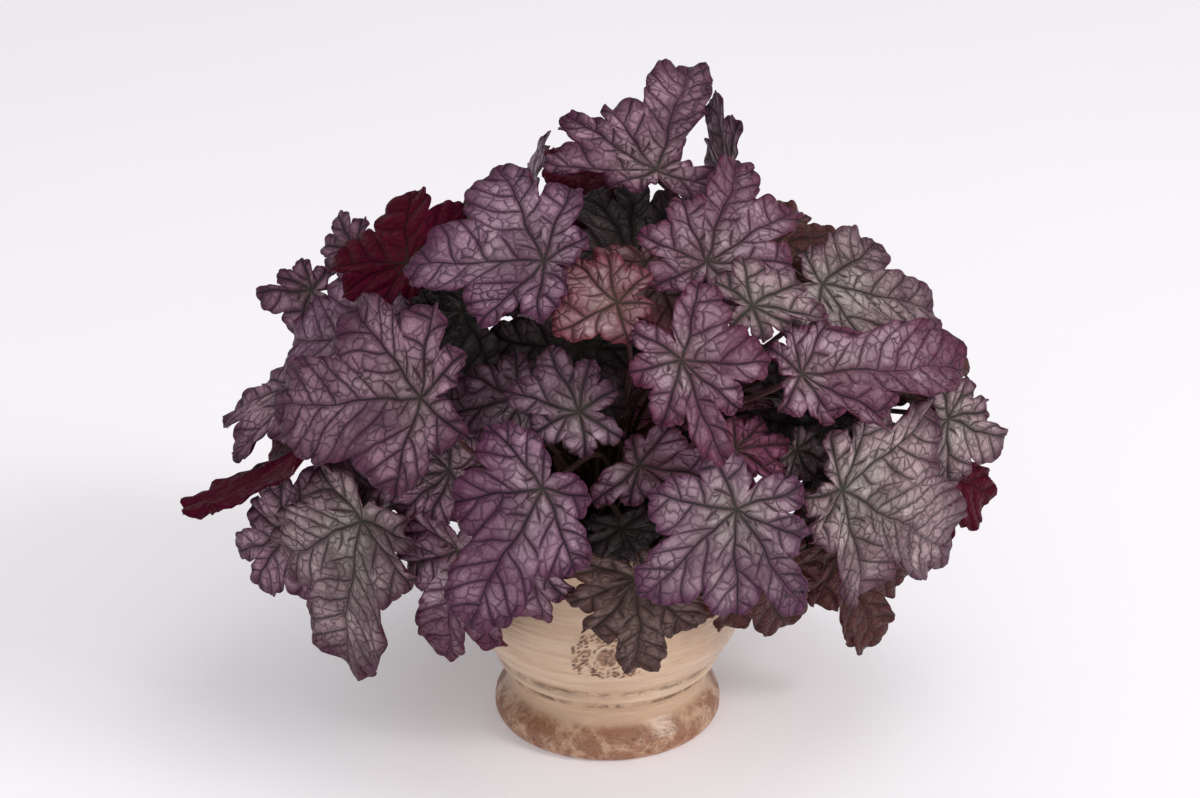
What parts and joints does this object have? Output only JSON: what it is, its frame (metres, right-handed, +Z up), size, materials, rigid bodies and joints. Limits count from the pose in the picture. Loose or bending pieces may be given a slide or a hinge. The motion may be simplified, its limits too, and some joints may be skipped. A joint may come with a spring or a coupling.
{
  "type": "potted coral bells plant",
  "caption": "Compact potted foliage plant: a dense mound of lobed, veined, silvery purple leaves on thin stalks, in a small round footed pot.",
  "frame": {"origin": "middle of the pot's flat underside", "axes": "+Z up along the pot's axis, out of its mouth; -Y is the pictured side; +X is to the right as that side is seen"},
  "size_m": [0.4249, 0.3317, 0.3315],
  "materials": {
    "leaf_brown": "reddish brown leaf, matt",
    "leaf_brown_silver": "brown leaf with a silvery grey middle",
    "leaf_burgundy": "plain dark burgundy leaf underside, satin",
    "leaf_dusky": "dusky grey-purple leaf with dark veins",
    "leaf_lavender": "silvery lavender leaf with dark veins and a purple edge, soft satin",
    "leaf_magenta": "dark magenta leaf with nearly black veins",
    "leaf_mauve": "silvery mauve leaf with dark green veins and a purple edge, soft satin",
    "leaf_pink": "rose-mauve leaf with a silvery sheen between dark veins",
    "leaf_salmon": "young salmon-red leaf with dark veins",
    "leaf_shade": "dark olive-grey leaf deep in the mound",
    "leaf_silver": "silvery grey-green leaf with dark green veins",
    "leaf_silver_pink": "silvery pink leaf with dark green veins and a purple edge",
    "pot_glaze": "cream glaze with brush streaks and brown mottling, softly glossy",
    "potting_mix": "dark crumbly potting mix, matt"
  },
  "bodies": {
    "root": {"leaf_back_crest": "leaf_silver", "leaf_back_high_1": "leaf_pink", "leaf_back_high_2": "leaf_silver", "leaf_back_high_3": "leaf_mauve", "leaf_back_high_4": "leaf_lavender", "leaf_back_low_1": "leaf_lavender", "leaf_back_low_2": "leaf_dusky", "leaf_back_low_3": "leaf_lavender", "leaf_back_low_4": "leaf_lavender", "leaf_back_low_5": "leaf_dusky", "leaf_back_low_6": "leaf_dusky", "leaf_burgundy_curled": "leaf_burgundy", "leaf_burgundy_left": "leaf_burgundy", "leaf_burgundy_right": "leaf_burgundy", "leaf_burgundy_right_upper": "leaf_burgundy", "leaf_burgundy_top": "leaf_burgundy", "leaf_centre_dusky": "leaf_dusky", "leaf_centre_left_grey": "leaf_dusky", "leaf_centre_red": "leaf_magenta", "leaf_centre_right": "leaf_pink", "leaf_centre_ruffled": "leaf_pink", "leaf_deep_middle": "leaf_shade", "leaf_deep_right": "leaf_shade", "leaf_front_dark": "leaf_shade", "leaf_front_left": "leaf_lavender", "leaf_front_low": "leaf_brown_silver", "leaf_front_magenta": "leaf_pink", "leaf_front_right": "leaf_silver_pink", "leaf_front_right_back": "leaf_brown", "leaf_front_small": "leaf_pink", "leaf_left_back_small": "leaf_mauve", "leaf_left_dusky": "leaf_mauve", "leaf_left_inner_grey": "leaf_shade", "leaf_left_large": "leaf_mauve", "leaf_left_low_back": "leaf_mauve", "leaf_left_silver": "leaf_silver", "leaf_left_tip_lower": "leaf_mauve", "leaf_left_tip_middle": "leaf_lavender", "leaf_left_tip_upper": "leaf_mauve", "leaf_left_upper": "leaf_lavender", "leaf_left_upper_back": "leaf_shade", "leaf_red_shade": "leaf_salmon", "leaf_right_back_brown": "leaf_brown", "leaf_right_brown": "leaf_brown", "leaf_right_inner": "leaf_brown", "leaf_right_large": "leaf_pink", "leaf_right_pale": "leaf_silver", "leaf_right_silver": "leaf_silver", "leaf_right_silver_small": "leaf_silver", "leaf_right_small": "leaf_silver", "leaf_right_upper": "leaf_silver", "leaf_salmon": "leaf_salmon", "leaf_top": "leaf_mauve", "leaf_top_folded": "leaf_mauve", "leaf_top_left_back": "leaf_dusky", "leaf_top_right": "leaf_pink", "leaf_top_right_back": "leaf_brown", "leaf_upper_shade": "leaf_shade", "pot": "pot_glaze", "soil": "potting_mix"}
  },
  "joints": []
}
